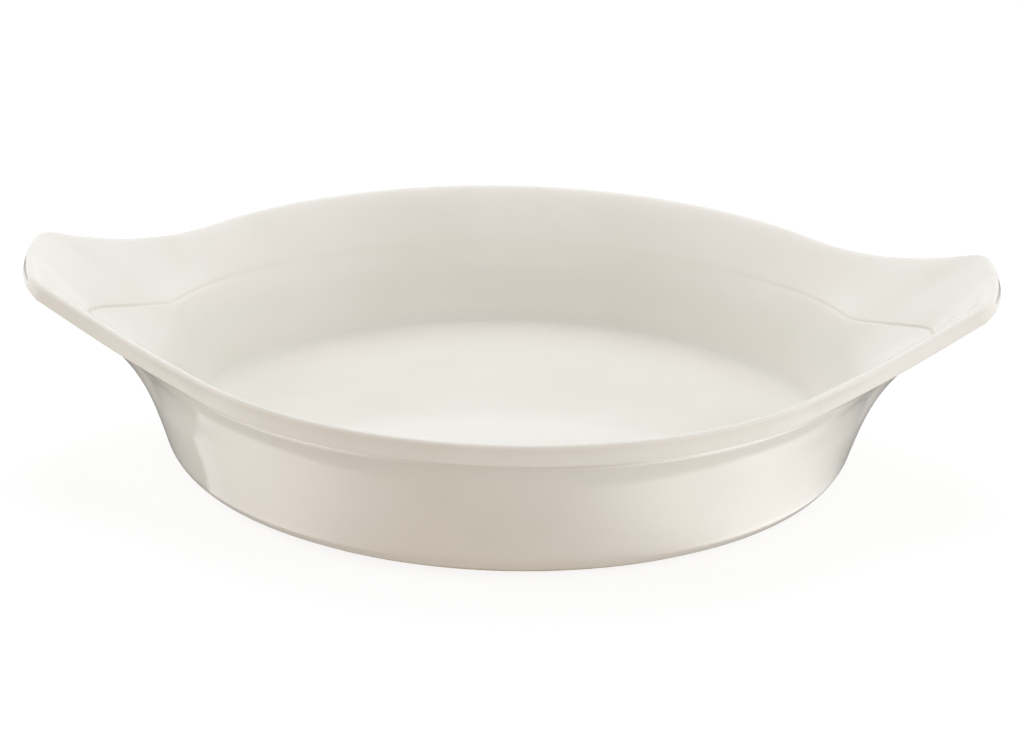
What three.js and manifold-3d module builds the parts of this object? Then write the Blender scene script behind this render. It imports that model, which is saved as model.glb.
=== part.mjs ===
// Shirred egg dish: a shallow round oven-to-table dish with a rolled lip and two scooped ears.
// Units are millimetres and +Z is up. The origin is the centre of the face that the dish rests on.
// The ears lie along X, and the dish is the same left and right, and front and back.

import * as THREE from "three";
import { mergeVertices } from "three/addons/utils/BufferGeometryUtils.js";
import Module from "manifold-3d";

// Driving dimensions of the round dish
const RIM_DIAMETER = 149.4; // across the outside of the rolled lip
const RIM_HEIGHT = 30.5; // top of the lip above the table, away from the ears
const LIP_THICKNESS = 3.8; // diameter of the round bead that edges the rim and the ears
const LIP_OVERHANG = 0.7; // how far the bead stands out past the top of the wall
const WALL_SLOPE = THREE.MathUtils.degToRad(71.4); // steepness of the wall, from level
const WALL_THICKNESS = 4;
const FLOOR_THICKNESS = 4;
const FLOOR_FILLET = 4; // inside corner between floor and wall
const BASE_CORNER_RADIUS = 8.5; // outside corner between wall and base

// Driving dimensions of the flare, the band between the wall and the lip
const CREASE_HEIGHT = 20.2; // where the wall turns into the flare, away from the ears
const CREASE_RISE = 3.8; // how much higher that turn runs beside the ears
const LIP_RISE = 1.5; // how much higher the lip runs beside the ears
const FLARE_TURN = THREE.MathUtils.degToRad(13); // how far the flare curls outwards below the lip

// Driving dimensions of the ears
const OVERALL_LENGTH = 189.6; // ear tip to ear tip
const EAR_LIFT = 7.6; // how far the tips stand above the rim beside them
const EAR_SWEEP = 1.2; // 1 climbs evenly to the tip, more climbs later
const EAR_WIDTH = 38; // across the rounded corners of a tip
const EAR_TIP_RADIUS = 64; // outward bow of the tip's edge
const EAR_CORNER_RADIUS = 9;
const EAR_FLANK_RADIUS = 124; // hollow curve from a corner back to the rim
const SCOOP_SETBACK = 9; // from the tip's edge back to the point of the scoop
const SCOOP_HALF_ANGLE = THREE.MathUtils.degToRad(42.6); // between the scoop's edge and the ear's axis
const SCOOP_GRADE = 0.3; // how steeply the scoop's edge climbs along the ear
const SCOOP_POINT_ROUNDING = THREE.MathUtils.degToRad(2.5);
const SCOOP_EDGE_ROUNDING = 1.5; // where the scoop's edge runs into the round crease
const SCOOP_DROP = 2.8; // from the crease down to where the wall bends out into the scoop

// Driving dimensions of the foot ring, and the slip joint that holds an ear
const FOOT_HEIGHT = 1.2;
const FOOT_WIDTH = 6;
const FOOT_INSET = 2.2; // from the edge of the flat base in to the ring
const FOOT_EDGE = 0.4; // small chamfer on the ring's resting face
const SLIP_JOINT = 0.3; // thickness of the clay slip between an ear and the rim

// Mesh fineness, in segments
const TIP_SEGMENTS = 3;
const CORNER_SEGMENTS = 4;
const FLANK_SEGMENTS = 7;
const RIM_SEGMENTS = 10;
const FILLET_SEGMENTS = 3;
const WALL_SEGMENTS = 5;
const FLARE_SEGMENTS = 4;
const LIP_SEGMENTS = 7;
const COVE_SEGMENTS = 4;
const OUTSIDE_SEGMENTS = 5;
const BASE_SEGMENTS = 4;
const FOOT_SEGMENTS = 96;

// Sizes that follow from them
const RIM_RADIUS = RIM_DIAMETER / 2;
const LIP_RADIUS = LIP_THICKNESS / 2;
const LIP_CIRCLE = RIM_RADIUS - LIP_RADIUS; // the bead's centre line round the rim
const LIP_LEVEL = RIM_HEIGHT - LIP_RADIUS;
const EAR_REACH = OVERALL_LENGTH / 2 - LIP_RADIUS; // the bead's centre line at an ear's tip
const FLOOR_LEVEL = FOOT_HEIGHT + FLOOR_THICKNESS;
const WALL_LEAN = 1 / Math.tan(WALL_SLOPE);
const WALL_NORMAL = WALL_SLOPE - Math.PI / 2; // direction straight out of the wall
const LIP_END = THREE.MathUtils.degToRad(-40); // where the rim's bead turns back to the wall
const COVE_LENGTH = 1.5; // the tight hollow under the rim's bead
const COVE_DROP = 2.7;
const FLARE_EASE = 0.4; // share of the flare that keeps the lip's slope

const point = (x, y) => new THREE.Vector2(x, y);
const along = (angle, length) => point(Math.cos(angle) * length, Math.sin(angle) * length);
const arc = (centre, radius, from, to, segments) =>
  new THREE.ArcCurve(centre.x, centre.y, radius, from, to, from > to).getPoints(segments);
const { lerp } = THREE.MathUtils;

// The larger of two values, with the corner between them rounded off.
const roundedMax = (a, b, rounding) => (a + b + Math.hypot(a - b, rounding)) / 2;

// Radius of the wall's outer and inner face at a height, in the round part of the dish.
function outerWall(height) {
  const top = RIM_HEIGHT - LIP_THICKNESS;
  return RIM_RADIUS - LIP_OVERHANG - (top - height) * WALL_LEAN;
}
const innerWall = (height) => outerWall(height) - WALL_THICKNESS / Math.sin(WALL_SLOPE);

// Where the flat base meets the rounded base corner.
const baseCorner = point(
  outerWall(BASE_CORNER_RADIUS) - BASE_CORNER_RADIUS / Math.sin(WALL_SLOPE),
  BASE_CORNER_RADIUS,
);
const baseEdgeAngle = -Math.asin((BASE_CORNER_RADIUS - FOOT_HEIGHT) / BASE_CORNER_RADIUS);
const baseEdge = baseCorner.x + BASE_CORNER_RADIUS * Math.cos(baseEdgeAngle);

// The bead's centre line in plan, from an ear's axis to the dish's cross axis, as four arcs that
// run into each other smoothly: tip, corner, hollow flank, rim. Each station on it says how far
// out the bead is there, at what angle, and which way its edge faces.
function quarterOutline() {
  const tipRadius = EAR_TIP_RADIUS - LIP_RADIUS;
  const cornerRadius = EAR_CORNER_RADIUS - LIP_RADIUS;
  const flankRadius = EAR_FLANK_RADIUS + LIP_RADIUS;
  const tipCentre = point(EAR_REACH - tipRadius, 0);
  const cornerSide = EAR_WIDTH / 2 - EAR_CORNER_RADIUS;
  const cornerAngle = Math.asin(cornerSide / (tipRadius - cornerRadius));
  const cornerCentre = along(cornerAngle, tipRadius - cornerRadius).add(tipCentre);

  // The flank's centre lies outside the dish, a known distance from the corner's and the rim's.
  const fromRim = LIP_CIRCLE + flankRadius;
  const fromCorner = cornerRadius + flankRadius;
  const base = cornerCentre.length();
  const turn = Math.acos((fromRim ** 2 + base ** 2 - fromCorner ** 2) / (2 * fromRim * base));
  const flankCentre = along(cornerCentre.angle() + turn, fromRim);
  const flankStart = flankCentre.clone().sub(cornerCentre).angle();
  const flankEnd = flankCentre.angle();

  const stations = [];
  const add = (centre, radius, from, to, segments, facing) => {
    const run = arc(centre, radius, from, to, segments);
    run.forEach((spot, i) => {
      if (stations.length > 0 && i === 0) return;
      const face = lerp(from, to, i / segments) + facing;
      const angle = Math.atan2(spot.y, spot.x);
      stations.push({ angle, out: spot.length(), skew: 1 / Math.cos(face - angle) });
    });
  };
  add(tipCentre, tipRadius, 0, cornerAngle, TIP_SEGMENTS, 0);
  add(cornerCentre, cornerRadius, cornerAngle, flankStart, CORNER_SEGMENTS, 0);
  add(flankCentre, flankRadius, flankStart + Math.PI, flankEnd + Math.PI, FLANK_SEGMENTS, -Math.PI);
  add(point(0, 0), LIP_CIRCLE, flankEnd, Math.PI / 2, RIM_SEGMENTS, 0);
  return stations;
}

// How near an angle is to an ear, from 0 at the cross axis to 1 on the ear's axis.
const nearEar = (angle) => Math.cos(angle) ** 4;

// Where the inside turns from wall to flare at an angle from the ear's axis, and where the wall
// below starts to bend. Round the dish the turn lies on the wall, beside an ear it climbs, and in
// the ear it runs out to the scoop's point.
function crease(angle) {
  const height = CREASE_HEIGHT + CREASE_RISE * nearEar(angle);
  const round = innerWall(height);
  const reach = OVERALL_LENGTH / 2 - SCOOP_SETBACK;
  const bearing = Math.min(Math.hypot(angle, SCOOP_POINT_ROUNDING) + SCOOP_HALF_ANGLE, Math.PI / 2);
  const scoop = (reach * Math.sin(SCOOP_HALF_ANGLE)) / Math.sin(bearing);
  const radius = roundedMax(round, scoop, SCOOP_EDGE_ROUNDING);
  const turn = point(radius, height + SCOOP_GRADE * (radius - round));
  const bend = point(innerWall(height - SCOOP_DROP), height - SCOOP_DROP);
  return { turn, bend };
}

// The corner of the outside that lies a wall's thickness behind a corner of the inside.
function behind(before, corner, after) {
  const slopeIn = corner.clone().sub(before).angle();
  const slopeOut = after.clone().sub(corner).angle();
  const miter = Math.cos((slopeOut - slopeIn) / 2);
  return along((slopeIn + slopeOut - Math.PI) / 2, WALL_THICKNESS / miter).add(corner);
}

// The half section of the dish at one station, as radius and height, from the middle of the floor
// out over the lip and back under to the edge of the flat base.
function section({ angle, out, skew }) {
  const reach = Math.max(out - LIP_CIRCLE, 0) / (EAR_REACH - LIP_CIRCLE);
  const lip = point(out, LIP_LEVEL + LIP_RISE * nearEar(angle) + EAR_LIFT * reach ** EAR_SWEEP);
  const onLip = (a) => point(lip.x + LIP_RADIUS * skew * Math.cos(a), lip.y + LIP_RADIUS * Math.sin(a));
  const lipCourse = (a) => point(skew * Math.sin(a), -Math.cos(a)).normalize();

  const filletCentre = point(
    innerWall(FLOOR_LEVEL + FLOOR_FILLET) - FLOOR_FILLET / Math.sin(WALL_SLOPE),
    FLOOR_LEVEL + FLOOR_FILLET,
  );
  const fillet = arc(filletCentre, FLOOR_FILLET, -Math.PI / 2, WALL_NORMAL, FILLET_SEGMENTS);

  const { turn, bend } = crease(angle);
  const wallFoot = fillet[FILLET_SEGMENTS];
  const wall = new THREE.QuadraticBezierCurve(wallFoot, bend, turn).getPoints(WALL_SEGMENTS);

  // The flare runs tangent on to the bead, whose section is widened where the outline runs askew.
  const span = point((lip.x - turn.x) / skew, lip.y - turn.y);
  const straight = span.angle() + Math.asin(LIP_RADIUS / span.length());
  const lipStart = straight - FLARE_TURN * (1 - reach) + Math.PI / 2;
  const flareEnd = onLip(lipStart);
  const ease = lipCourse(lipStart).multiplyScalar(FLARE_EASE * flareEnd.distanceTo(turn));
  const flareLean = flareEnd.clone().sub(ease);
  const flare = new THREE.QuadraticBezierCurve(turn, flareLean, flareEnd).getPoints(FLARE_SEGMENTS);

  const lipEnd = lerp(LIP_END, straight - Math.PI / 2, reach);
  const bead = [];
  for (let i = 0; i <= LIP_SEGMENTS; i++) bead.push(onLip(lerp(lipStart, lipEnd, i / LIP_SEGMENTS)));

  // Under the rim the outside tucks in below the bead, and under an ear it runs straight on.
  const turnBehind = behind(bend, turn, flareLean);
  const under = bead[LIP_SEGMENTS];
  const run = under.clone().sub(turnBehind).divideScalar(3);
  const tuck = lipCourse(lipEnd).multiplyScalar(lerp(COVE_LENGTH, run.length(), reach)).add(under);
  const coveTop = RIM_HEIGHT - LIP_THICKNESS - COVE_DROP;
  const hollow = point(outerWall(coveTop), coveTop).lerp(turnBehind.clone().add(run), reach);
  const cove = new THREE.CubicBezierCurve(under, tuck, hollow, turnBehind).getPoints(COVE_SEGMENTS);

  const base = arc(baseCorner, BASE_CORNER_RADIUS, WALL_NORMAL, baseEdgeAngle, BASE_SEGMENTS);
  const bendBehind = behind(wallFoot, bend, turn);
  const back = new THREE.QuadraticBezierCurve(turnBehind, bendBehind, base[0]);
  const outside = back.getPoints(OUTSIDE_SEGMENTS);

  const inside = [fillet, wall.slice(1), flare.slice(1)];
  return [...inside, bead.slice(1), cove.slice(1), outside.slice(1), base.slice(1)].flat();
}

// The whole dish with its ears, as one closed skin of sections round the axis.
function earedDish() {
  const quarter = quarterOutline();
  const steps = quarter.length - 1;
  const rings = [];
  for (let quadrant = 0; quadrant < 4; quadrant++) {
    for (let i = 0; i < steps; i++) {
      const mirrored = quadrant % 2 === 1;
      const station = quarter[mirrored ? steps - i : i];
      const angle = mirrored
        ? ((quadrant + 1) * Math.PI) / 2 - station.angle
        : (quadrant * Math.PI) / 2 + station.angle;
      rings.push({ angle, spots: section(station) });
    }
  }
  const count = rings[0].spots.length;
  const positions = [0, 0, FLOOR_LEVEL, 0, 0, FOOT_HEIGHT];
  for (const { angle, spots } of rings) {
    for (const spot of spots) positions.push(spot.x * Math.cos(angle), spot.x * Math.sin(angle), spot.y);
  }
  const [floorMiddle, baseMiddle, firstRing] = [0, 1, 2];
  const faces = [];
  rings.forEach((_, i) => {
    const here = firstRing + i * count;
    const next = firstRing + ((i + 1) % rings.length) * count;
    faces.push(floorMiddle, here, next);
    for (let j = 0; j < count - 1; j++) {
      faces.push(here + j, here + j + 1, next + j + 1);
      faces.push(here + j, next + j + 1, next + j);
    }
    faces.push(baseMiddle, next + count - 1, here + count - 1);
  });
  const skin = new THREE.BufferGeometry();
  skin.setAttribute("position", new THREE.Float32BufferAttribute(positions, 3));
  skin.setIndex(faces);
  return skin;
}

const wasm = await Module();
wasm.setup();

// A closed geometry as a solid that can be cut, and a solid as a geometry again.
function solidOf(geometry) {
  const bare = new THREE.BufferGeometry();
  bare.setAttribute("position", geometry.getAttribute("position"));
  bare.setIndex(geometry.getIndex());
  const merged = mergeVertices(bare);
  return new wasm.Manifold(
    new wasm.Mesh({
      numProp: 3,
      vertProperties: new Float32Array(merged.getAttribute("position").array),
      triVerts: new Uint32Array(merged.getIndex().array),
    }),
  );
}
function geometryOf(solid) {
  const { vertProperties, triVerts } = solid.getMesh();
  const geometry = new THREE.BufferGeometry();
  geometry.setAttribute("position", new THREE.BufferAttribute(vertProperties, 3));
  geometry.setIndex(new THREE.BufferAttribute(triVerts, 1));
  geometry.computeVertexNormals();
  return geometry;
}

// A block that spans the dish across Y and Z, between two places along X.
function slab(from, to) {
  const block = new THREE.BoxGeometry(to - from, OVERALL_LENGTH * 2, OVERALL_LENGTH * 2);
  return solidOf(block.translate((from + to) / 2, 0, 0));
}

// The ring that the dish stands on, under the flat base.
function footRing() {
  const outer = baseEdge - FOOT_INSET;
  const inner = outer - FOOT_WIDTH;
  const profile = [
    point(inner + FOOT_EDGE, 0),
    point(outer - FOOT_EDGE, 0),
    point(outer, FOOT_EDGE),
    point(outer, FOOT_HEIGHT),
    point(inner, FOOT_HEIGHT),
    point(inner, FOOT_EDGE),
    point(inner + FOOT_EDGE, 0),
  ];
  // A lathe turns about Y, so the ring is stood up to turn about Z.
  return new THREE.LatheGeometry(profile, FOOT_SEGMENTS).rotateX(Math.PI / 2);
}

const glaze = new THREE.MeshStandardMaterial({ color: 0xebe7e0, roughness: 0.18, metalness: 0 });
const bareClay = new THREE.MeshStandardMaterial({ color: 0xd9cdb8, roughness: 0.85, metalness: 0 });

const dish = new THREE.Group();
dish.name = "shirred_egg_dish";
function addPiece(name, geometry, material) {
  const piece = new THREE.Mesh(geometry, material.clone());
  piece.name = name;
  dish.add(piece);
}

// The ears are luted on at flat faces that stand just clear of the round rim.
const eared = solidOf(earedDish());
const earFace = RIM_RADIUS + SLIP_JOINT;
const beyond = OVERALL_LENGTH;
addPiece("dish_body", geometryOf(eared.intersect(slab(-RIM_RADIUS, RIM_RADIUS))), glaze);
addPiece("right_ear", geometryOf(eared.intersect(slab(earFace, beyond))), glaze);
addPiece("left_ear", geometryOf(eared.intersect(slab(-beyond, -earFace))), glaze);
addPiece("foot_ring", footRing(), bareClay);

export default dish;
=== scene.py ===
# %% [markdown]
# # A shirred egg dish
# A shirred egg dish is a shallow round baker for one or two eggs, which goes from the oven to the
# table. It is one piece of glazed ceramic: a flat floor, a steep wall, a flare under a rolled lip, and
# two scooped ears to lift it by. It stands on a low ring that is left without glaze.
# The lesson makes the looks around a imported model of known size. The model is loaded first, because
# every size and place below is taken from it or fitted to it.

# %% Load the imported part
import math

import bpy
import numpy as np
from mathutils import Matrix, Vector


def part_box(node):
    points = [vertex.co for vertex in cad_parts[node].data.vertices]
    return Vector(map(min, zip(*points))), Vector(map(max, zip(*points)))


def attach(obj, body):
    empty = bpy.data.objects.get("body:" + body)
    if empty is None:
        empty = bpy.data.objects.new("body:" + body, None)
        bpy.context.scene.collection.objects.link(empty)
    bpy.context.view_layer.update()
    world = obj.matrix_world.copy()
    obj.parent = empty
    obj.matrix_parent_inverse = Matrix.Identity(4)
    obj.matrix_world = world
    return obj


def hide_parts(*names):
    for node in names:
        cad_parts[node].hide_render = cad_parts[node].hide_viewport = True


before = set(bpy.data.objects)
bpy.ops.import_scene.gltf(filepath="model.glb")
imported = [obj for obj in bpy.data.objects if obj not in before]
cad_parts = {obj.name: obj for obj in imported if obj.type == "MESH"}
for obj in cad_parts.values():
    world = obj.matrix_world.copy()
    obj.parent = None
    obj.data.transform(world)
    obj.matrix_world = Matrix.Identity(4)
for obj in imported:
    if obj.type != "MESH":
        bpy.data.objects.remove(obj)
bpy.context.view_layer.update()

MM = 0.001  # Blender works in metres, and the shapes below are worked out in millimetres

# %% [markdown]
# ## Sizes
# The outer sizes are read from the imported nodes, so that the new surface fills the same space. The
# rest are the sizes of the section, which a potter would set on the profile tool that shapes the clay.

# %% Sizes in millimetres, and angles in radians
_, body_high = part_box("dish_body")
_, ear_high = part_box("right_ear")
_, foot_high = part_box("foot_ring")
RIM_RADIUS = body_high.y / MM
EAR_END = ear_high.x / MM
TIP_HEIGHT = ear_high.z / MM
FOOT_HEIGHT = foot_high.z / MM
FOOT_RADIUS = foot_high.x / MM

RIM_HEIGHT = 30.5  # top of the lip, away from the ears
LIP_RADIUS = 1.9  # half the lip's thickness
LIP_OVERHANG = 0.7  # how far the lip stands out past the top of the wall
LIP_RISE = 1.5  # how much higher the lip runs beside the ears
WALL_SLOPE = math.radians(71.4)
WALL_THICKNESS = 4.0
FLOOR_THICKNESS = 4.0
FLOOR_CROWN = 0.15  # the floor swells a little in the firing
FLOOR_FILLET = 1.8  # radius between floor and wall, inside
BASE_CORNER = 8.5  # radius between wall and base, outside
FOOT_WIDTH = 6.0

LIP_CIRCLE = RIM_RADIUS - LIP_RADIUS  # the lip's centre line round the rim
EAR_REACH = EAR_END - LIP_RADIUS  # and at an ear's tip
LIP_FOOT = RIM_HEIGHT - 2 * LIP_RADIUS
EAR_LIFT = TIP_HEIGHT - RIM_HEIGHT - LIP_RISE
FLOOR_LEVEL = FOOT_HEIGHT + FLOOR_THICKNESS
WALL_NORMAL = WALL_SLOPE - math.pi / 2
print("rim radius", round(RIM_RADIUS, 2), "ear reach", round(EAR_REACH, 2), "lift", round(EAR_LIFT, 2))

# %% [markdown]
# ## The edge seen from above
# From above, the edge of the dish is a circle that opens into two ears. A freehand curve would do, but
# four arcs that run smoothly into each other are easier to check: a bowed tip, a round corner, a hollow
# flank and the rim. One quarter is worked out, and the other three are its mirror images.

# %% Outline of the edge
EAR_WIDTH = 38.0
EAR_TIP_RADIUS = 64.0
EAR_CORNER = 9.0
EAR_FLANK = 124.0
TIP_STEPS = 12
CORNER_STEPS = 16
FLANK_STEPS = 36
RIM_STEPS = 48


def ray(angle, length):
    """A point at a length along a direction: length times (cos angle, sin angle)."""
    return np.stack([np.cos(angle) * length, np.sin(angle) * length], axis=-1)


def bearing_of(spots):
    """The direction of points from the origin."""
    return np.arctan2(spots[..., 1], spots[..., 0])


def quarter_edge():
    """Bearing, distance and outward direction of the lip's centre line, from the ear's axis to the
    cross axis. The flank's centre is where a circle round the dish's middle, of radius rim plus flank,
    meets a circle round the corner's centre, of radius corner plus flank."""
    tip = EAR_TIP_RADIUS - LIP_RADIUS
    corner = EAR_CORNER - LIP_RADIUS
    flank = EAR_FLANK + LIP_RADIUS
    tip_centre = np.array([EAR_REACH - tip, 0.0])
    corner_turn = math.asin((EAR_WIDTH / 2 - EAR_CORNER) / (tip - corner))
    corner_centre = tip_centre + ray(corner_turn, tip - corner)
    from_rim = LIP_CIRCLE + flank
    from_corner = corner + flank
    apart = np.linalg.norm(corner_centre)
    opening = math.acos((from_rim**2 + apart**2 - from_corner**2) / (2 * from_rim * apart))
    flank_centre = ray(bearing_of(corner_centre) + opening, from_rim)
    flank_start = bearing_of(flank_centre - corner_centre)
    flank_end = bearing_of(flank_centre)

    tip_turns = np.linspace(0, corner_turn, TIP_STEPS + 1)[:-1]
    corner_turns = np.linspace(corner_turn, flank_start, CORNER_STEPS + 1)[:-1]
    flank_turns = np.linspace(flank_start, flank_end, FLANK_STEPS + 1)[:-1]
    rim_turns = np.linspace(flank_end, math.pi / 2, RIM_STEPS + 1)
    spots = np.concatenate([
        tip_centre + ray(tip_turns, tip),
        corner_centre + ray(corner_turns, corner),
        flank_centre - ray(flank_turns, flank),
        ray(rim_turns, LIP_CIRCLE),
    ])
    facing = np.concatenate([tip_turns, corner_turns, flank_turns, rim_turns])
    return bearing_of(spots), np.linalg.norm(spots, axis=-1), facing


def full_turn(quarter, mirrored):
    """Four quarters in a row, of which every second one is mirrored, without the shared ends."""
    return np.concatenate([quarter[:-1], mirrored[:0:-1], quarter[:-1], mirrored[:0:-1]])


quarter_bearing, quarter_out, quarter_facing = quarter_edge()
quarters = np.repeat([0, math.pi / 2, math.pi, 3 * math.pi / 2], len(quarter_out) - 1)
bearing = quarters + full_turn(quarter_bearing, math.pi / 2 - quarter_bearing)
out = full_turn(quarter_out, quarter_out)
# Where the edge runs askew to the radius, a round lip looks wider in the radial section by this much.
quarter_skew = 1 / np.cos(quarter_facing - quarter_bearing)
skew = full_turn(quarter_skew, quarter_skew)
print("stations round the edge", len(bearing), "reach from", out.min().round(2), "to", out.max().round(2))

# %% [markdown]
# ## The section
# A dish could be turned on a lathe, but its ears break the round. So the section is worked out for
# every station of the edge at once: one array holds all sections, and the section changes gently from
# the plain rim to the ear. It starts at the middle of the floor, climbs the wall, turns outwards at a
# soft crease into the flare, goes round the lip and comes back underneath to the middle of the base.
# In an ear the crease runs outwards to a point, which leaves the scoop where a finger rests.

# %% Crease between wall and flare
CREASE_HEIGHT = 20.2
CREASE_RISE = 3.8  # how much higher it runs beside the ears
EAR_FADE = 4  # power of the cosine by which an ear's effect fades round the rim
SCOOP_SETBACK = 9.0  # from the tip's edge back to the scoop's point
SCOOP_HALF_ANGLE = math.radians(42.6)
SCOOP_GRADE = 0.3  # how steeply the scoop's edge climbs along the ear
SCOOP_DROP = 2.8  # from the crease down to where the wall bends out into the scoop
SCOOP_POINT_ROUNDING = math.radians(2.5)
SCOOP_EDGE_ROUNDING = 1.5

ear_angle = np.abs((bearing + math.pi / 2) % math.pi - math.pi / 2)  # angle from the nearer ear's axis
near_ear = np.cos(ear_angle) ** EAR_FADE
reach = np.clip((out - LIP_CIRCLE) / (EAR_REACH - LIP_CIRCLE), 0, 1)  # 0 on the rim, 1 at a tip


def outer_wall(height):
    """Radius of the wall's outer face: a straight line that leans out as it climbs."""
    return RIM_RADIUS - LIP_OVERHANG - (LIP_FOOT - height) / math.tan(WALL_SLOPE)


def inner_wall(height):
    """Radius of the wall's inner face, which is a wall's thickness inside the outer one."""
    return outer_wall(height) - WALL_THICKNESS / math.sin(WALL_SLOPE)


# The crease is at the wall or at the scoop's edge, whichever is further out, with a rounded change.
level = CREASE_HEIGHT + CREASE_RISE * near_ear
round_crease = inner_wall(level)
scoop_bearing = np.minimum(np.hypot(ear_angle, SCOOP_POINT_ROUNDING) + SCOOP_HALF_ANGLE, math.pi / 2)
scoop_edge = (EAR_END - SCOOP_SETBACK) * math.sin(SCOOP_HALF_ANGLE) / np.sin(scoop_bearing)
step = scoop_edge - round_crease
crease_out = (round_crease + scoop_edge + np.hypot(step, SCOOP_EDGE_ROUNDING)) / 2
crease = np.stack([crease_out, level + SCOOP_GRADE * (crease_out - round_crease)], axis=-1)
bend = np.stack([inner_wall(level - SCOOP_DROP), level - SCOOP_DROP], axis=-1)
print("crease from", crease.min(axis=0).round(2), "to", crease.max(axis=0).round(2))

# %% Helpers for the runs of a section
NUDGE = 0.01  # a small step along a curve, to measure its speed


def bezier(*controls):
    """A function of t that gives the Bezier curve of two, three or four control points per station, by
    mixing neighbours in the ratio t until one point is left."""
    def curve(t):
        t = np.broadcast_to(t, (len(bearing), np.shape(t)[-1]))[..., None]
        points = [np.broadcast_to(c, (len(bearing), 2))[:, None] for c in controls]
        while len(points) > 1:
            points = [a + (b - a) * t for a, b in zip(points, points[1:])]
        return points[0]
    return curve


def turned(centre, radius, angles):
    """An arc of the section: centre plus radius times (cos a, sin a), alike at all stations."""
    spots = np.asarray(centre) + ray(angles, radius)
    return np.broadcast_to(spots, (len(bearing), *spots.shape))


def slope(start, end):
    """The direction from one set of points to another."""
    return bearing_of(end - start)


def behind(before, corner, after, thickness):
    """The outside's corner that lies a thickness behind a corner of the inside, on the line that halves
    the angle between the two runs."""
    into = slope(before, corner)
    onward = slope(corner, after)
    return corner + ray((into + onward - math.pi) / 2, thickness / np.cos((onward - into) / 2))


def eased(first, corner, second, pull, steps):
    """Rounds the corner between two curves that meet: it cuts each curve back by about pull, and bridges
    the gap with a Bezier curve that is drawn to the corner. Gives both cuts and the bridge."""
    speed_in = np.linalg.norm(first(np.array([1.0])) - first(np.array([1 - NUDGE])), axis=-1) / NUDGE
    speed_out = np.linalg.norm(second(np.array([NUDGE])) - second(np.array([0.0])), axis=-1) / NUDGE
    cut_in = pull[:, None] / speed_in
    cut_out = pull[:, None] / speed_out
    start = first(1 - cut_in)[:, 0]
    end = second(cut_out)[:, 0]
    return cut_in, cut_out, bezier(start, corner, end)(np.linspace(0, 1, steps + 1))


# %% Floor fillet and wall
FILLET_STEPS = 8

fillet_level = FLOOR_LEVEL + FLOOR_FILLET
fillet_centre = (inner_wall(fillet_level) - FLOOR_FILLET / math.sin(WALL_SLOPE), fillet_level)
fillet = turned(fillet_centre, FLOOR_FILLET, np.linspace(-math.pi / 2, WALL_NORMAL, FILLET_STEPS + 1))
wall_foot = fillet[:, -1]
wall_run = bezier(wall_foot, bend, crease)
print("flat of the floor", fillet[0, 0, 0].round(2), "foot of the wall", wall_foot[0].round(2))

# %% [markdown]
# ## The lip
# The edge of such a dish is rolled outwards, so that it doesn't chip. A plain round bead would be
# simpler, but it has only one soft gleam. This lip is tight at its top and at its lower edge, and its
# outer face between them is a little hollow, which gives each of them a line of its own. In an ear it
# is thinner, and its face leans back with the ear.

# %% Shape of the lip
TOP_ROUND = 0.65  # radius of the top edge
EAR_TOP_ROUND = 0.9
LOWER_ROUND = 0.7
FACE_HEIGHT = 3.1
FACE_TOP = math.radians(-14)  # the direction that the face looks in at its top
FACE_FOOT = math.radians(4)  # and at its foot
EAR_THINNING = 0.64  # how much smaller the lip is at an ear's tip, as a share
EAR_LEAN = math.radians(24)
LIFT_POWER = 1.2  # above 1, an ear rises gently at first

edge = np.stack([
    out + skew * LIP_RADIUS,
    RIM_HEIGHT + LIP_RISE * near_ear + EAR_LIFT * reach**LIFT_POWER,
], axis=-1)
lean = EAR_LEAN * reach
slimming = 1 - EAR_THINNING * np.sqrt(reach)
top_round = TOP_ROUND + (EAR_TOP_ROUND - TOP_ROUND) * np.sqrt(reach)
stretch = np.stack([skew, np.ones_like(skew)], axis=-1)

# These points are counted from the centre of the lip's top arc.
half_turn = (FACE_FOOT - FACE_TOP) / 2
face_start = ray(FACE_TOP + lean, top_round)
face_end = face_start + ray(FACE_TOP + half_turn + lean - math.pi / 2, slimming * FACE_HEIGHT)
face_pull = slimming * FACE_HEIGHT / 2 / math.cos(half_turn)
face_middle = face_start + ray(FACE_TOP + lean - math.pi / 2, face_pull)
lower_centre = face_end - ray(FACE_FOOT + lean, slimming * LOWER_ROUND)

# The outermost point is on one of the two arcs, and with the top it has to meet the edge of the dish.
top_width = top_round * np.cos(np.maximum(FACE_TOP + lean, 0))
widest = np.maximum(top_width, lower_centre[:, 0] + slimming * LOWER_ROUND)
top_centre = edge - np.stack([skew * widest, top_round], axis=-1)
print("edge from", edge.min(axis=0).round(2), "to", edge.max(axis=0).round(2))

# %% [markdown]
# ## The flare and its crease
# Between wall and lip the dish opens into a flare, which curls outwards just below the lip. A sharp
# corner between wall and flare would look like cut metal, so a small curve bridges it, as glaze does.
# A fine line runs along it. It is deepest in the ears, where the scoop was pressed into the clay, and
# fades out between them.

# %% Flare from the crease to the lip
CREASE_STEPS = 24
FLARE_TURN = math.radians(48)  # how far the flare curls outwards below the rim's lip
FLARE_EASE = 0.16  # length of the curl, as a share of the flare's
CREASE_PULL_RIM = 1.8  # the crease is soft round the rim
CREASE_PULL_EAR = 1.1  # and crisper in an ear
TRIES = 8


def on_top(angle):
    """The point of the lip's top arc whose surface looks in a direction, widened by the skew."""
    return top_centre + stretch * ray(angle, top_round)


def lip_course(angle):
    """The direction in which the section runs round the lip there: a quarter turn from the way that the
    surface looks, widened by the skew."""
    course = np.stack([skew * np.sin(angle), -np.cos(angle)], axis=-1)
    return course / np.linalg.norm(course, axis=-1, keepdims=True)


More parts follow.
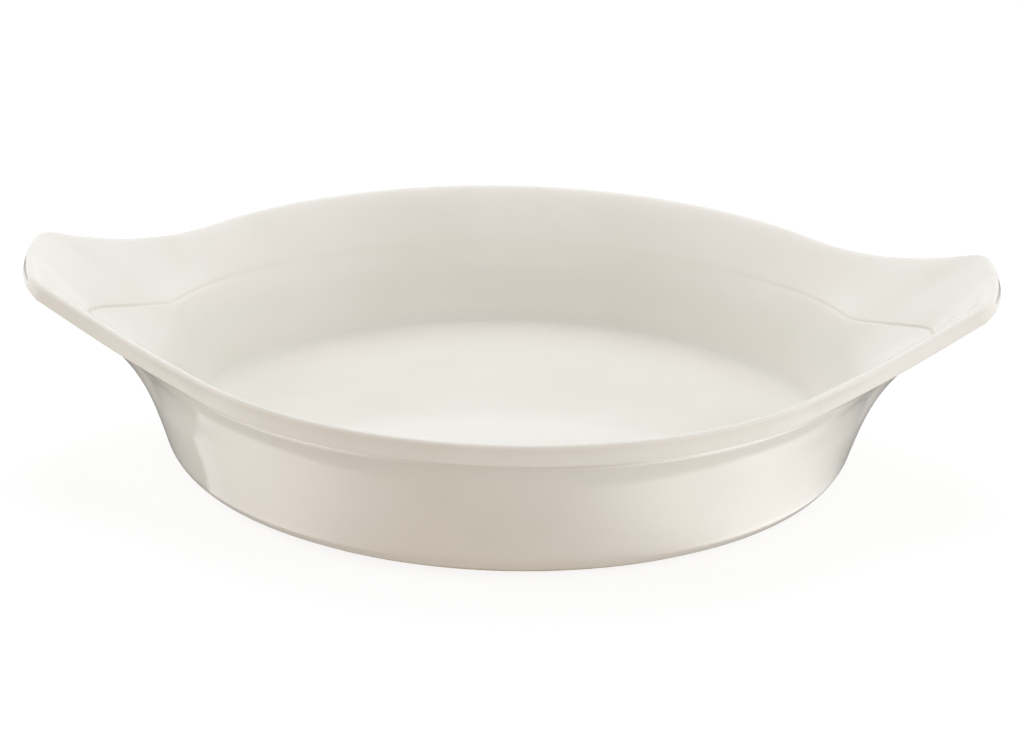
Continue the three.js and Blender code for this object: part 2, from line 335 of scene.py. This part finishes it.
# The straight line from the crease that just touches the lip is found by trying again a few times.
straight = bearing_of(edge - crease)
for _ in range(TRIES):
    straight = bearing_of((on_top(straight + math.pi / 2) - crease) / stretch)
lip_start = straight - FLARE_TURN * (1 - reach) + math.pi / 2

flare_end = on_top(lip_start)
flare_length = np.linalg.norm(flare_end - crease, axis=-1, keepdims=True)
flare_lean = flare_end - lip_course(lip_start) * FLARE_EASE * flare_length
flare_run = bezier(crease, flare_lean, flare_end)
crease_pull = CREASE_PULL_RIM + (CREASE_PULL_EAR - CREASE_PULL_RIM) * near_ear
wall_cut, flare_cut, crease_turn = eased(wall_run, crease, flare_run, crease_pull, CREASE_STEPS)
print("flare from", flare_length.min().round(2), "to", flare_length.max().round(2), "long")

# %% Fine line along the crease
WALL_STEPS = 12
FLARE_STEPS = 14
LINE_DEPTH = 0.4
LINE_REST = 0.28  # the depth that it keeps beside an ear, as a share
LINE_SPAN = math.radians(10)  # half the span of its deep part
LINE_SHOULDER = 4  # the power that sets how suddenly the deep part ends
LINE_WIDTH = 0.14  # as a share of the crease's turn

crease_course = np.gradient(crease_turn, axis=1)
into_clay = np.stack([crease_course[..., 1], -crease_course[..., 0]], axis=-1)
into_clay = into_clay / np.linalg.norm(into_clay, axis=-1, keepdims=True)
across_line = np.exp(-((np.linspace(0, 1, CREASE_STEPS + 1) - 0.5) / LINE_WIDTH) ** 2)
in_ear = np.exp(-((ear_angle / LINE_SPAN) ** LINE_SHOULDER))
along_line = in_ear + (1 - in_ear) * LINE_REST * np.cos(ear_angle)
crease_turn = crease_turn + into_clay * (LINE_DEPTH * along_line[:, None] * across_line)[..., None]
wall = wall_run((1 - wall_cut) * np.linspace(0, 1, WALL_STEPS + 1))
flare = flare_run(flare_cut + (1 - flare_cut) * np.linspace(0, 1, FLARE_STEPS + 1))
print("wall runs", wall.shape, "crease", crease_turn.shape, "flare", flare.shape)

# %% [markdown]
# ## The underside
# Below the lip the outside runs back to the wall through a small hollow, the cove. Under an ear it
# becomes the ear's underside, and it meets the wall in a rounded ridge. It could be the inside moved
# outwards, but then an ear would be as thick as the wall. So only its corners are set behind those of
# the inside, each by its own thickness.

# %% Round the lip
TOP_STEPS = 12
FACE_STEPS = 6
LOWER_STEPS = 8
LIP_BACK = math.radians(-65)  # where the rim's lip turns back to the wall


def on_lower_edge(angle):
    """The point of the lip's lower arc whose surface looks in a direction, widened by the skew."""
    return top_centre + stretch * (lower_centre + ray(angle, slimming * LOWER_ROUND))


lip_end = LIP_BACK + (straight - math.pi / 2 - LIP_BACK) * reach
top_turns = np.linspace(lip_start, FACE_TOP + lean, TOP_STEPS + 1)
lower_turns = np.linspace(FACE_FOOT + lean, lip_end, LOWER_STEPS + 1)
face_run = bezier(*(top_centre + stretch * spot for spot in (face_start, face_middle, face_end)))
lip = np.concatenate([
    np.stack([on_top(angle) for angle in top_turns], axis=1),
    face_run(np.linspace(0, 1, FACE_STEPS + 1)[1:-1]),
    np.stack([on_lower_edge(angle) for angle in lower_turns], axis=1),
], axis=1)
print("lip runs", lip.shape)

# %% Cove, ridge, outside and base
COVE_STEPS = 18
RIDGE_STEPS = 10
OUTSIDE_STEPS = 14
BASE_STEPS = 12
COVE_LENGTH = 0.85  # how far the cove is drawn along the lip's course
COVE_DROP = 1.5  # from the lip's foot down to where the cove has become the wall
RIDGE_PULL_RIM = 2.2  # rounding of the ridge behind the crease
RIDGE_PULL_EAR = 3.6
EAR_SAVING = 1.6  # how much thinner an ear is than the wall

ridge = behind(bend, crease, flare_lean, WALL_THICKNESS - EAR_SAVING * near_ear)
under = lip[:, -1]
third = (under - ridge) / 3
tuck_length = COVE_LENGTH + (np.linalg.norm(third, axis=-1) - COVE_LENGTH) * reach
tuck = under + lip_course(lip_end) * tuck_length[:, None]
cove_foot = LIP_FOOT - COVE_DROP
rim_hollow = np.array([outer_wall(cove_foot), cove_foot])
hollow = rim_hollow + (ridge + third - rim_hollow) * reach[:, None]
cove_run = bezier(under, tuck, hollow, ridge)

base_centre = (outer_wall(BASE_CORNER) - BASE_CORNER / math.sin(WALL_SLOPE), BASE_CORNER)
base_end = -math.asin((BASE_CORNER - FOOT_HEIGHT) / BASE_CORNER)
base = turned(base_centre, BASE_CORNER, np.linspace(WALL_NORMAL, base_end, BASE_STEPS + 1))
outside_run = bezier(ridge, behind(wall_foot, bend, crease, WALL_THICKNESS), base[:, 0])
ridge_pull = RIDGE_PULL_RIM + (RIDGE_PULL_EAR - RIDGE_PULL_RIM) * near_ear
cove_cut, outside_cut, ridge_turn = eased(cove_run, ridge, outside_run, ridge_pull, RIDGE_STEPS)
cove = cove_run((1 - cove_cut) * np.linspace(0, 1, COVE_STEPS + 1))
outside = outside_run(outside_cut + (1 - outside_cut) * np.linspace(0, 1, OUTSIDE_STEPS + 1))
print("base edge radius", base[0, -1, 0].round(2))

# %% [markdown]
# ## From sections to a skin
# The sections become one closed skin: each section is turned to its bearing, and neighbours are
# joined by quads. Two marks are kept on the points, because glaze is not the same everywhere: it runs
# thin over the lip, the crease and the base's corner, and it pools in the hollows.

# %% Join the runs, and mark the glaze
FLOOR_RINGS = 6
THIN_GLAZE = {"crease": 0.2, "lip": 0.35, "base": 0.4}
POOLED_GLAZE = {"fillet": 1.0, "wall": 0.6, "cove": 0.7}

floor_share = np.linspace(0, 1, FLOOR_RINGS + 1)[1:-1]
floor_radius = fillet[0, 0, 0] * floor_share
floor_height = FLOOR_LEVEL + FLOOR_CROWN * (1 - floor_share**2) ** 2
base_radius = base[0, -1, 0] * floor_share[::-1]
base_height = np.full_like(base_radius, FOOT_HEIGHT)
flat_shape = (len(bearing), len(floor_share), 2)
runs = {
    "floor": np.broadcast_to(np.stack([floor_radius, floor_height], axis=-1), flat_shape),
    "fillet": fillet,
    "wall": wall[:, 1:],
    "crease": crease_turn[:, 1:],
    "flare": flare[:, 1:],
    "lip": lip[:, 1:],
    "cove": cove[:, 1:],
    "ridge": ridge_turn[:, 1:],
    "outside": outside[:, 1:],
    "base": base[:, 1:],
    "underneath": np.broadcast_to(np.stack([base_radius, base_height], axis=-1), flat_shape),
}
sections = np.concatenate(list(runs.values()), axis=1)


def hump(run):
    """A mark that swells from 0 at a run's ends to 1 at its middle: sine squared of half a turn."""
    return np.sin(np.linspace(0, math.pi, run.shape[1])) ** 2


thin = np.concatenate([hump(run) * THIN_GLAZE.get(name, 0) for name, run in runs.items()])
pooled = np.concatenate([hump(run) * POOLED_GLAZE.get(name, 0) for name, run in runs.items()])
print("sections", sections.shape)

# %% Helpers for meshes
CUBIC_CM = 1000  # in cubic millimetres


def revolve(sections, bearing):
    """Section points (radius, height) at each bearing, as x = r cos b, y = r sin b, z = height."""
    radius = sections[..., 0]
    height = sections[..., 1]
    turn = bearing[:, None]
    return np.stack([radius * np.cos(turn), radius * np.sin(turn), height], axis=-1)


def ring_quads(rows, columns, wrap):
    """Quads between neighbouring rows and columns of a grid of points. The rows always close on
    themselves, and the columns do so if wrap is true."""
    row, column = np.meshgrid(np.arange(rows), np.arange(columns if wrap else columns - 1), indexing="ij")
    after = (row + 1) % rows
    beside = (column + 1) % columns
    corners = [
        row * columns + column,
        row * columns + beside,
        after * columns + beside,
        after * columns + column,
    ]
    return np.stack(corners, axis=-1).reshape(-1, 4)


def make_object(name, points, faces):
    """A smooth mesh object at the origin, from points in millimetres."""
    mesh = bpy.data.meshes.new(name)
    mesh.from_pydata((points * MM).tolist(), [], faces)
    mesh.polygons.foreach_set("use_smooth", np.ones(len(mesh.polygons), dtype=bool))
    mesh.update()
    mesh.calc_loop_triangles()
    made = bpy.data.objects.new(name, mesh)
    bpy.context.scene.collection.objects.link(made)
    print(name, "triangles", len(mesh.loop_triangles))
    return made


def print_volume(piece, points):
    """Prints the volume inside a closed piece: the sum of a dot (b cross c) over its triangles, over 6.
    It is above zero when the faces look outwards."""
    triangles = piece.data.loop_triangles
    corners = np.empty(len(triangles) * 3, dtype=np.int32)
    triangles.foreach_get("vertices", corners)
    a, b, c = points[corners.reshape(-1, 3)].swapaxes(0, 1)
    volume = np.einsum("ij,ij->i", a, np.cross(b, c)).sum() / 6
    print(piece.name, "volume", round(volume / CUBIC_CM, 2), "cubic centimetres")


# %% Build the glazed dish
grid = revolve(sections, bearing)
rows, columns = grid.shape[:2]
middles = [[0, 0, FLOOR_LEVEL + FLOOR_CROWN], [0, 0, FOOT_HEIGHT]]
floor_middle = rows * columns
base_middle = floor_middle + 1
first = np.arange(rows) * columns
following = np.roll(first, -1)
floor_fan = np.stack([np.full(rows, floor_middle), first, following], axis=-1)
base_fan = np.stack([np.full(rows, base_middle), following + columns - 1, first + columns - 1], axis=-1)
dish_faces = ring_quads(rows, columns, wrap=False).tolist() + floor_fan.tolist() + base_fan.tolist()
dish_points = np.concatenate([grid.reshape(-1, 3), middles])
glazed_dish = make_object("glazed_dish", dish_points, dish_faces)
print_volume(glazed_dish, dish_points)

for mark_name, strength in (("thin_glaze", thin), ("pooled_glaze", pooled)):
    layer = glazed_dish.data.attributes.new(mark_name, "FLOAT", "POINT")
    layer.data.foreach_set("value", np.append(np.tile(strength, rows), [0.0, 0.0]).astype(np.float32))

# %% [markdown]
# ## The foot ring
# The dish stands on a low ring. It is wiped clean before the glaze firing and ground flat after it, so
# it shows bare clay. A plain tube would look machined, so its section has rounded edges below, a small
# fillet where it meets the base, and a face that is a little uneven.

# %% Build the foot ring
FOOT_STATIONS = 240
FOOT_EDGE = 0.4  # radius of the edges below
FOOT_FILLET = 0.3
FOOT_EDGE_STEPS = 6
FOOT_FACE_STEPS = 8
WEAR_DEPTH = 0.04  # how far the ground face waves
LONG_WAVES = 3  # waves round the ring
SHORT_WAVES = 7
WAVE_SHIFT = 1.0  # radians
foot_inner = FOOT_RADIUS - FOOT_WIDTH


def foot_corner(x, z, radius, start, end):
    """A rounded corner of the ring's section, as an arc between two directions."""
    return np.array([x, z]) + ray(np.linspace(start, end, FOOT_EDGE_STEPS + 1), radius)


quarter_turn = math.pi / 2
face = np.linspace(FOOT_RADIUS - FOOT_EDGE, foot_inner + FOOT_EDGE, FOOT_FACE_STEPS + 1)[1:-1]
fillet_height = FOOT_HEIGHT - FOOT_FILLET
ring_section = np.concatenate([
    foot_corner(foot_inner + FOOT_EDGE, FOOT_EDGE, FOOT_EDGE, -quarter_turn, -math.pi),
    foot_corner(foot_inner - FOOT_FILLET, fillet_height, FOOT_FILLET, 0, quarter_turn),
    foot_corner(FOOT_RADIUS + FOOT_FILLET, fillet_height, FOOT_FILLET, quarter_turn, math.pi),
    foot_corner(FOOT_RADIUS - FOOT_EDGE, FOOT_EDGE, FOOT_EDGE, 0, -quarter_turn),
    np.stack([face, np.zeros_like(face)], axis=-1),
])
ring_bearing = np.linspace(0, 2 * math.pi, FOOT_STATIONS, endpoint=False)
ring = np.repeat(ring_section[None], FOOT_STATIONS, axis=0)
uneven = np.sin(LONG_WAVES * ring_bearing) * np.cos(SHORT_WAVES * ring_bearing + WAVE_SHIFT)
wave = WEAR_DEPTH * (1 + uneven) / 2
on_face = np.isclose(ring_section[:, 1], 0)
ring[..., 1] += np.where(on_face, wave[:, None], 0)
ring_points = revolve(ring, ring_bearing).reshape(-1, 3)
ring_faces = ring_quads(FOOT_STATIONS, len(ring_section), wrap=True).tolist()
bare_foot = make_object("bare_foot_ring", ring_points, ring_faces)
print_volume(bare_foot, ring_points)

# %% [markdown]
# ## Glaze
# The glaze is a warm white. A single flat colour would look like plastic, so the finish holds what a
# fired glaze holds: a faint cloudiness, a warmer tone where it is thin over the clay, a greyer one
# where it pools, tiny pits, and the gentle ripple that makes its reflections wander. All of it is
# worked out in the object's own coordinates, so it stays in place from every side.

# %% Helpers for materials


def new_material(name):
    """A new material, with its node tree and its shader."""
    material = bpy.data.materials.new(name)
    material.use_nodes = True
    shader = material.node_tree.nodes["Principled BSDF"]
    return material, material.node_tree, shader


def add(tree, kind, values=None, **settings):
    """A node of a kind, with settings, and with values on its sockets. A socket that is given as a
    value is linked."""
    node = tree.nodes.new(kind)
    for name, setting in settings.items():
        setattr(node, name, setting)
    for name, value in (values or {}).items():
        socket = node.inputs[name]
        if isinstance(value, bpy.types.NodeSocket):
            tree.links.new(value, socket)
        else:
            socket.default_value = value
    return node


def noise(tree, size, detail=2.0):
    """Soft noise in object coordinates, whose blotches are about size millimetres across."""
    place = add(tree, "ShaderNodeTexCoord").outputs["Object"]
    values = {"Vector": place, "Scale": 1 / (size * MM), "Detail": detail}
    return add(tree, "ShaderNodeTexNoise", values).outputs["Fac"]


def ramp(tree, value, low, high, to_low=0.0, to_high=1.0):
    """Maps a range of values on to another range, and holds the ends."""
    values = {"Value": value, "From Min": low, "From Max": high, "To Min": to_low, "To Max": to_high}
    return add(tree, "ShaderNodeMapRange", values).outputs["Result"]


def blend(tree, share, first, second):
    """Mixes two colours by a share from 0 to 1. The node has sockets for many kinds of data, of which 6
    and 7 are the colours, and the third output is their mixture."""
    return add(tree, "ShaderNodeMix", {0: share, 6: first, 7: second}, data_type="RGBA").outputs[2]


def combine(tree, operation, first, second):
    """One step of arithmetic with two values, such as their product."""
    return add(tree, "ShaderNodeMath", {0: first, 1: second}, operation=operation).outputs[0]


def point_mark(tree, name):
    """A mark that the mesh keeps on its points."""
    return add(tree, "ShaderNodeAttribute", attribute_name=name).outputs["Fac"]


def bump(tree, height, strength, depth, over=None):
    """The way that a surface looks when a height map dents it, by a depth in millimetres. It can go over
    another bump."""
    node = add(tree, "ShaderNodeBump", {"Height": height, "Strength": strength, "Distance": depth * MM})
    if over is not None:
        tree.links.new(over, node.inputs["Normal"])
    return node.outputs["Normal"]


def colour(red, green, blue):
    """A colour of 0 to 255 as a display shows it, in the linear values that a shader takes: the lowest
    values are divided by 12.92, and the others follow a power of 2.4."""
    share = np.array([red, green, blue]) / 255
    linear = np.where(share <= 0.04045, share / 12.92, ((share + 0.055) / 1.055) ** 2.4)
    return (*linear.tolist(), 1.0)


# %% Glaze
GLAZE = colour(236, 232, 225)
GLAZE_CLOUD = colour(231, 228, 219)
GLAZE_THIN = colour(224, 215, 199)
GLAZE_POOL = colour(222, 222, 213)
POOL_SHARE = 0.4  # how much of its colour a full pool shows
GLAZE_IOR = 1.5


def glaze_finish():
    """A glossy warm white, cloudy, thin over edges and pooled in hollows, with a rippled skin."""
    material, tree, shader = new_material("warm_white_glaze")
    cloud = ramp(tree, noise(tree, size=28, detail=3), low=0.4, high=0.68)
    tone = blend(tree, cloud, GLAZE, GLAZE_CLOUD)
    broken = ramp(tree, noise(tree, size=6, detail=4), low=0.35, high=0.75, to_low=0.15, to_high=0.55)
    thin_share = combine(tree, "MULTIPLY", point_mark(tree, "thin_glaze"), broken)
    tone = blend(tree, thin_share, tone, GLAZE_THIN)
    pool_share = combine(tree, "MULTIPLY", point_mark(tree, "pooled_glaze"), POOL_SHARE)
    tone = blend(tree, pool_share, tone, GLAZE_POOL)
    tree.links.new(tone, shader.inputs["Base Color"])
    sheen = ramp(tree, noise(tree, size=14), low=0.3, high=0.7, to_low=0.05, to_high=0.1)
    tree.links.new(sheen, shader.inputs["Roughness"])
    shader.inputs["IOR"].default_value = GLAZE_IOR

    ripple = bump(tree, noise(tree, size=16), strength=0.12, depth=0.4)
    peel = bump(tree, noise(tree, size=1.3), strength=0.06, depth=0.05, over=ripple)
    pits = ramp(tree, noise(tree, size=2.2, detail=0), low=0.2, high=0.27)
    pitted = bump(tree, pits, strength=0.12, depth=0.08, over=peel)
    tree.links.new(pitted, shader.inputs["Normal"])
    return material


# %% [markdown]
# ## Bare clay
# The foot ring is left without glaze, because glaze would stick the dish to the kiln's shelf. Its clay
# is dry and sandy. A picture of clay could be wrapped round it, but noise needs no other file: blotches,
# grit and grain are noise of three sizes, and a ring pattern gives the marks of the grinding.

# %% Bare clay
CLAY = colour(219, 206, 184)
CLAY_DARK = colour(190, 172, 146)
CLAY_GRIT = colour(150, 128, 102)
CLAY_ROUGHNESS = 0.85
GRINDING = {"Scale": 380.0, "Distortion": 1.5, "Detail": 2.0}


def clay_finish():
    """A dry sandy body with fine grit, and the faint circles that grinding leaves on the face."""
    material, tree, shader = new_material("bare_clay")
    blotches = ramp(tree, noise(tree, size=5, detail=4), low=0.35, high=0.7)
    tone = blend(tree, blotches, CLAY, CLAY_DARK)
    grit = ramp(tree, noise(tree, size=0.7, detail=1), low=0.66, high=0.74)
    tone = blend(tree, grit, tone, CLAY_GRIT)
    tree.links.new(tone, shader.inputs["Base Color"])
    shader.inputs["Roughness"].default_value = CLAY_ROUGHNESS
    rings = {"Vector": add(tree, "ShaderNodeTexCoord").outputs["Object"], **GRINDING}
    ground = add(tree, "ShaderNodeTexWave", rings, wave_type="RINGS", rings_direction="Z").outputs["Fac"]
    scratched = bump(tree, ground, strength=0.15, depth=0.05)
    grainy = bump(tree, noise(tree, size=0.5), strength=0.35, depth=0.06, over=scratched)
    tree.links.new(grainy, shader.inputs["Normal"])
    return material


# %% [markdown]
# ## On the frame
# The imported part has its own nodes and bodies. Each new piece rides on one of its bodies, so that the
# looks move with the part, and the nodes that it stands for are hidden. Nothing on this dish moves, so
# both pieces ride on the root.

# %% Put the pieces on the frame


def dress(piece, material, slot, *nodes):
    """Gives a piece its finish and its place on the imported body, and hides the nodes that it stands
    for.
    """
    piece.data.materials.append(material)
    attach(piece, "root")
    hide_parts(*nodes)
    print(piece.name, "stands for", nodes)


dress(glazed_dish, glaze_finish(), "glaze", "dish_body", "left_ear", "right_ear")
dress(bare_foot, clay_finish(), "bare_clay", "foot_ring")

# %% [markdown]
# ## Table and room
# The dish stands on a white table in a white room. A plain white floor would turn grey in the picture,
# so what the camera sees of it is mostly a white of its own, and only a part of it takes the dish's
# shade. Room and table look white, and light the dish more weakly and warmly, so that it keeps its tone.

# %% Floor and room
FLOOR_SIZE = 6000.0
ROOM_LIGHT = 0.52  # the room's brightness on the object, where 1 is white
TABLE_LIGHT = 0.48  # the brightness of the white table on the object
WARM = (1.0, 0.89, 0.79, 1.0)  # the tint of both
WHITE = (1.0, 1.0, 1.0, 1.0)
TABLE_BOUNCE = 0.3  # how much of the lamps' light the table throws back
FLOOR_SHOWN = 0.2  # share of the seen floor that takes shade
FLOOR_GLOW = 0.83  # the white of its own that the seen floor has


def grey(share):
    """A grey of a share of white."""
    return (share, share, share, 1.0)


def seen_directly(tree):
    """1 for rays from the camera, and for those that a glossy or a clear surface sends on: the largest
    of the three marks."""
    path = add(tree, "ShaderNodeLightPath").outputs
    either = combine(tree, "MAXIMUM", path["Is Camera Ray"], path["Is Glossy Ray"])
    return combine(tree, "MAXIMUM", either, path["Is Transmission Ray"])


def make_room():
    """A world that is seen as white, and lights the object a little less and warmly."""
    world = bpy.data.worlds.new("room")
    bpy.context.scene.world = world
    world.use_nodes = True
    tree = world.node_tree
    background = tree.nodes["Background"].inputs
    seen = seen_directly(tree)
    strength = ramp(tree, seen, low=0, high=1, to_low=ROOM_LIGHT, to_high=1)
    tree.links.new(strength, background["Strength"])
    tree.links.new(blend(tree, seen, WARM, WHITE), background["Color"])


def make_floor():
    """A large white square just under the dish. What the camera sees of it is mostly its own white, and
    the rest takes the dish's shade."""
    corners = FLOOR_SIZE / 2 * np.array([[-1, -1, 0], [1, -1, 0], [1, 1, 0], [-1, 1, 0]])
    table = make_object("floor", corners, [[0, 1, 2, 3]])
    material, tree, shader = new_material("white_floor")
    tree.nodes.remove(shader)
    bounced = add(tree, "ShaderNodeBsdfDiffuse", {"Color": grey(TABLE_BOUNCE)}).outputs[0]
    glowing = add(tree, "ShaderNodeEmission", {"Color": WARM, "Strength": TABLE_LIGHT}).outputs[0]
    lit = add(tree, "ShaderNodeAddShader", {0: bounced, 1: glowing}).outputs[0]
    shaded = add(tree, "ShaderNodeBsdfDiffuse", {"Color": grey(FLOOR_SHOWN)}).outputs[0]
    white = add(tree, "ShaderNodeEmission", {"Strength": FLOOR_GLOW}).outputs[0]
    shown = add(tree, "ShaderNodeAddShader", {0: shaded, 1: white}).outputs[0]
    mixed = add(tree, "ShaderNodeMixShader", {0: seen_directly(tree), 1: lit, 2: shown}).outputs[0]
    tree.links.new(mixed, tree.nodes["Material Output"].inputs["Surface"])
    table.data.materials.append(material)


make_room()
make_floor()
print("room light", ROOM_LIGHT, "table light", TABLE_LIGHT)

# %% [markdown]
# ## Painted reflection of the table
# White glaze on a white table loses its outline, because at a glancing angle it mirrors the table. So a
# flat ring lies on the table, and its points carry painted light and shade, which the glaze mirrors as
# painted reflections: a grey that is the painted shadow of the dish and its ears on the table, and white
# patches that are painted gleams, where the table beside the dish is lit. Only the glaze shows it: it
# has no part in the light, and the camera doesn't see it.

# %% Painted shadow and gleams, in millimetres from the dish's axis and degrees from the camera's side
SHEET_STATIONS = 720
# The rings of points are closer where the painted gleams lie.
SHEET_RADII = np.concatenate([np.arange(40, 60, 5), np.arange(60, 90, 0.5), np.arange(90, 281, 5)])
SHEET_LIFT = 0.1  # above the table
# The painted shadow: the grey where the dish and its ears shade the table, as the glaze mirrors it.
PAINTED_SHADOW_GREY = 0.2
SHEET_END = (92.0, 120.0)  # where the painted shadow turns to the table's white
# Beside the ears and round the back, the painted shadow reaches further out, as the ears' shadow does.
SHEET_SIDES = (70, 100)  # where it starts to go further, and where it does so fully
SHEET_BEHIND = 1.2  # how much further it goes from there round the back, as a share
FOOT_GREY = 0.3  # how much lighter the painted shadow is painted beside the foot
FOOT_SIDE = (60.0, 66.0)  # where that ends
GLEAM_START = (64.5, 66.0)  # where the painted gleams start
GLEAM_REACH = 86.3  # and where they end
GLEAM_SOFT = 1.2  # half the width of their soft outer edge
GLEAM_SIDES = (45, 80)  # where they start to be drawn in, and where they are so fully
GLEAM_DRAWN_IN = 3.5
GLEAM_SLANT = 12.0  # how much later a painted gleam starts near the dish, so that its end is askew, as an ear's shadow is
GLEAM_SLANT_RUN = (66, 82)  # where it is askew
# Each painted gleam, a lit part of the table as the glaze mirrors it: its white, and where it starts and
# ends, with the right as positive.
PAINTED_GLEAMS = [
    (0.85, (-78, -75.5), (-44, -12)),
    (0.75, (-70, -50), (-44, -12)),
    (2.05, (5, 34), (46, 90)),
]


def rise(value, low, high):
    """A smooth step from 0 at low to 1 at high: 3 t squared minus 2 t cubed."""
    t = np.clip((value - low) / (high - low), 0, 1)
    return t * t * (3 - 2 * t)


def sheet_brightness(turn):
    """The painted shadow's grey, which turns to white outwards, plus each painted gleam's white times two
    smooth steps up and two down: along the gleam and across it."""
    drawn_in = SHEET_RADII / (1 + SHEET_BEHIND * rise(np.abs(turn), *SHEET_SIDES)[:, None])
    shown = PAINTED_SHADOW_GREY + (1 - PAINTED_SHADOW_GREY) * rise(drawn_in, *SHEET_END)
    shown = shown + FOOT_GREY * (1 - rise(SHEET_RADII, *FOOT_SIDE))
    gleam_end = GLEAM_REACH - GLEAM_DRAWN_IN * rise(np.abs(turn), *GLEAM_SIDES)[:, None]
    across = rise(SHEET_RADII, *GLEAM_START) * (1 - rise(SHEET_RADII - gleam_end, -GLEAM_SOFT, GLEAM_SOFT))
    askew = turn[:, None] - GLEAM_SLANT * (1 - rise(SHEET_RADII, *GLEAM_SLANT_RUN))
    for white, (first, full), (fading, last) in PAINTED_GLEAMS:
        along = rise(askew, first, full) * (1 - rise(turn, fading, last))[:, None]
        shown = shown + white * along * across
    return shown


def make_sheet():
    """A flat ring on the table, which glows with its own painted shade and light, and only in
    reflections.
    """
    turn = np.linspace(-180, 180, SHEET_STATIONS, endpoint=False)
    flat = np.empty((SHEET_STATIONS, len(SHEET_RADII), 2))
    flat[..., 0] = SHEET_RADII
    flat[..., 1] = SHEET_LIFT
    spots = revolve(flat, np.radians(turn - 90)).reshape(-1, 3)
    sheet = make_object("sheet", spots, ring_quads(SHEET_STATIONS, len(SHEET_RADII), wrap=False).tolist())
    layer = sheet.data.attributes.new("brightness", "FLOAT", "POINT")
    layer.data.foreach_set("value", sheet_brightness(turn).ravel().astype(np.float32))
    # The ring's material is a painted reflection of the table, with its painted shadow and gleams.
    material, tree, shader = new_material("painted_table_reflection")
    tree.nodes.remove(shader)
    glow = add(tree, "ShaderNodeEmission", {"Strength": point_mark(tree, "brightness")}).outputs[0]
    tree.links.new(glow, tree.nodes["Material Output"].inputs["Surface"])
    sheet.data.materials.append(material)
    sheet.visible_camera = False
    sheet.visible_diffuse = False
    sheet.visible_transmission = False
    sheet.visible_shadow = False


make_sheet()

# %% [markdown]
# ## Soft boxes
# Three large soft boxes light the dish, because small lamps would leave hard shadows. One hangs behind
# it and lights what looks upwards: the floor of the dish, the flare and the ears. One stands low on each
# side and rakes across the wall. The front gets little more than the room's light, so it stays darker,
# which shows its curve.

# %% Soft boxes
BOX_DISTANCE = 0.9  # metres from the dish
BOX_SIDE = 0.6  # metres
BOX_TINT = (0.8, 0.9, 1.0)  # a little cooler than the room


def soft_box(name, azimuth, elevation, power):
    """A square of light that faces the dish, from an azimuth in degrees (0 is the camera's side and 90
    is the right) and an elevation above the floor. It lights the glaze, and leaves no image of itself
    in it, as behind a polarising filter."""
    a = math.radians(azimuth)
    e = math.radians(elevation)
    back = Vector((math.sin(a) * math.cos(e), -math.cos(a) * math.cos(e), math.sin(e)))
    data = bpy.data.lights.new(name, "AREA")
    data.shape = "RECTANGLE"
    data.size = BOX_SIDE
    data.size_y = BOX_SIDE
    data.energy = power
    data.color = BOX_TINT
    light = bpy.data.objects.new(name, data)
    light.visible_glossy = False
    facing = back.to_track_quat("Z", "Y").to_matrix().to_4x4()
    light.matrix_world = Matrix.Translation(back * BOX_DISTANCE) @ facing
    bpy.context.scene.collection.objects.link(light)
    print(name, "power", power)


soft_box("back_box", azimuth=180, elevation=60, power=4.1)
soft_box("right_box", azimuth=70, elevation=20, power=4.0)
soft_box("left_box", azimuth=-90, elevation=25, power=3.25)

# %% [markdown]
# ## Camera
# The viewpoint comes from the photograph's perspective: the ellipses of rim and base give the height,
# and the tilt of the ears gives the roll. The long lens is aimed a little above the dish's foot.

# %% Camera
IMAGE_WIDTH = 1024  # pixels
SENSOR = 36.0  # millimetres
DISTANCE = 1500.0  # millimetres from the middle of the foot
SCALE = 5.108  # pixels for a millimetre at that distance
CAMERA_HEIGHT = math.radians(20.96)
CAMERA_ROLL = math.radians(1.4)
AIM_RIGHT = 0.81  # millimetres from the middle of the foot to the picture's middle
AIM_UP = 15.8

level_up = np.array([0, math.sin(CAMERA_HEIGHT), math.cos(CAMERA_HEIGHT)])
level_right = np.array([1.0, 0, 0])
camera_right = math.cos(CAMERA_ROLL) * level_right + math.sin(CAMERA_ROLL) * level_up
camera_up = math.cos(CAMERA_ROLL) * level_up - math.sin(CAMERA_ROLL) * level_right
place = DISTANCE * np.array([0, -math.cos(CAMERA_HEIGHT), math.sin(CAMERA_HEIGHT)])
aim = AIM_RIGHT * camera_right + AIM_UP * camera_up
back = (place - aim) / np.linalg.norm(place - aim)
right = np.cross(camera_up, back)
right /= np.linalg.norm(right)
axes = Matrix(np.stack([right, np.cross(back, right), back], axis=-1).tolist())

lens = bpy.data.cameras.new("camera")
lens.sensor_width = SENSOR
lens.lens = SCALE * DISTANCE / IMAGE_WIDTH * SENSOR
camera = bpy.data.objects.new("camera", lens)
camera.matrix_world = Matrix.Translation(Vector(place * MM)) @ axes.to_4x4()
bpy.context.scene.collection.objects.link(camera)
bpy.context.scene.camera = camera
bpy.context.scene.view_settings.view_transform = "Standard"
print("lens", round(lens.lens, 1), "mm")
